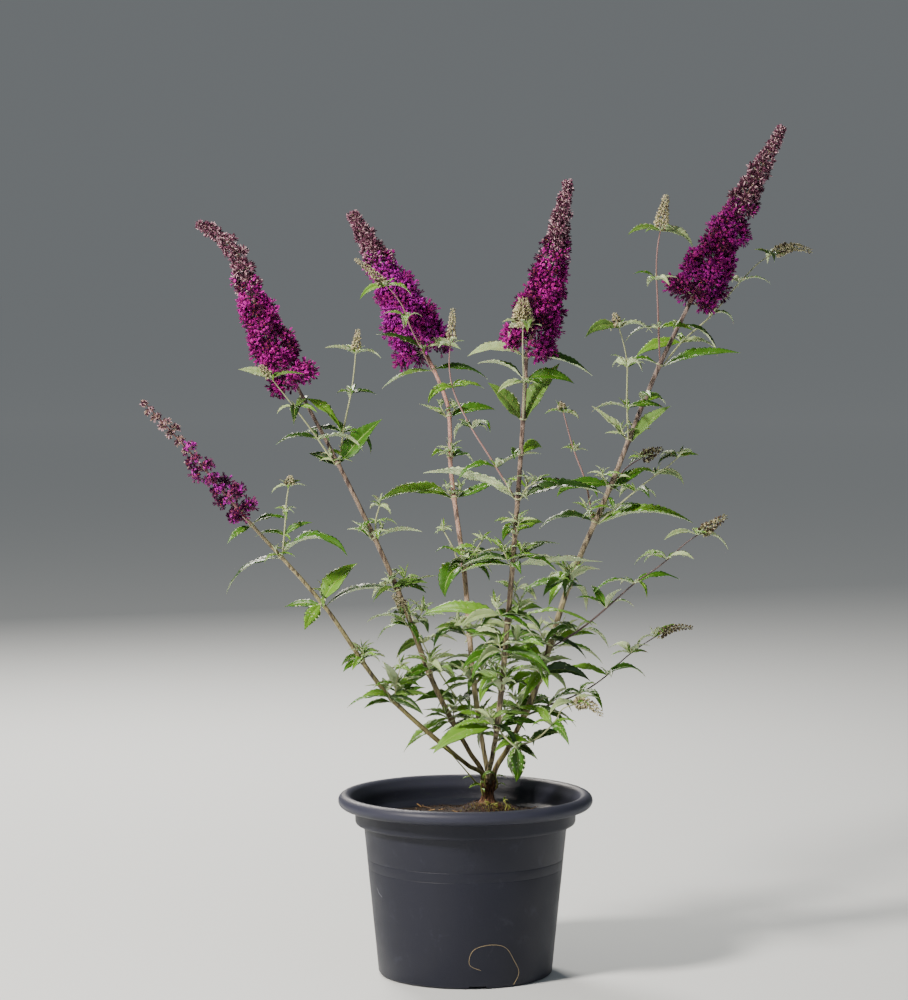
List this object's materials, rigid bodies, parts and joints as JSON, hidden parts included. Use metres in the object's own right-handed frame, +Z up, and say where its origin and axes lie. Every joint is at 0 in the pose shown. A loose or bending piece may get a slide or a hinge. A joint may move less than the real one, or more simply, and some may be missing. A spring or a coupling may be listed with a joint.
{
  "type": "potted butterfly bush",
  "caption": "Butterfly bush in flower: arching leafy stems with upright tapering flower panicles, in a round tapered plastic nursery pot with a rolled rim.",
  "frame": {"origin": "centre of the pot's flat underside, on the surface it stands on", "axes": "+Z up along the pot's axis, -Y towards the plant's front, +X to its right as seen from the front"},
  "size_m": [0.786, 0.4867, 0.9965],
  "materials": {
    "pot": "satin moulded anthracite",
    "compost": "moist, crumbly",
    "bark": "rough brown bark",
    "stem": "ripened shoot, matt",
    "foliage": "leaf, satin above and felted below",
    "bloom": "massed small petals, matt"
  },
  "bodies": {
    "root": {"bloom_back": "bloom", "bloom_far_left": "bloom", "bloom_front": "bloom", "bloom_left": "bloom", "bloom_right": "bloom", "compost": "compost", "leaves_back_1": "foliage", "leaves_back_2": "foliage", "leaves_back_3": "foliage", "leaves_back_4": "foliage", "leaves_back_5": "foliage", "leaves_back_6": "foliage", "leaves_back_7": "foliage", "leaves_back_8": "foliage", "leaves_far_left_1": "foliage", "leaves_far_left_2": "foliage", "leaves_far_left_3": "foliage", "leaves_far_left_4": "foliage", "leaves_far_left_5": "foliage", "leaves_front_1": "foliage", "leaves_front_10": "foliage", "leaves_front_11": "foliage", "leaves_front_2": "foliage", "leaves_front_3": "foliage", "leaves_front_4": "foliage", "leaves_front_5": "foliage", "leaves_front_6": "foliage", "leaves_front_7": "foliage", "leaves_front_8": "foliage", "leaves_front_9": "foliage", "leaves_left_1": "foliage", "leaves_left_2": "foliage", "leaves_left_3": "foliage", "leaves_left_4": "foliage", "leaves_left_5": "foliage", "leaves_left_6": "foliage", "leaves_left_7": "foliage", "leaves_right_1": "foliage", "leaves_right_10": "foliage", "leaves_right_11": "foliage", "leaves_right_2": "foliage", "leaves_right_3": "foliage", "leaves_right_4": "foliage", "leaves_right_5": "foliage", "leaves_right_6": "foliage", "leaves_right_7": "foliage", "leaves_right_8": "foliage", "leaves_right_9": "foliage", "pot": "pot", "rootstock": "bark", "stem_back": "stem", "stem_far_left": "stem", "stem_front": "stem", "stem_left": "stem", "stem_right": "stem"}
  },
  "joints": []
}
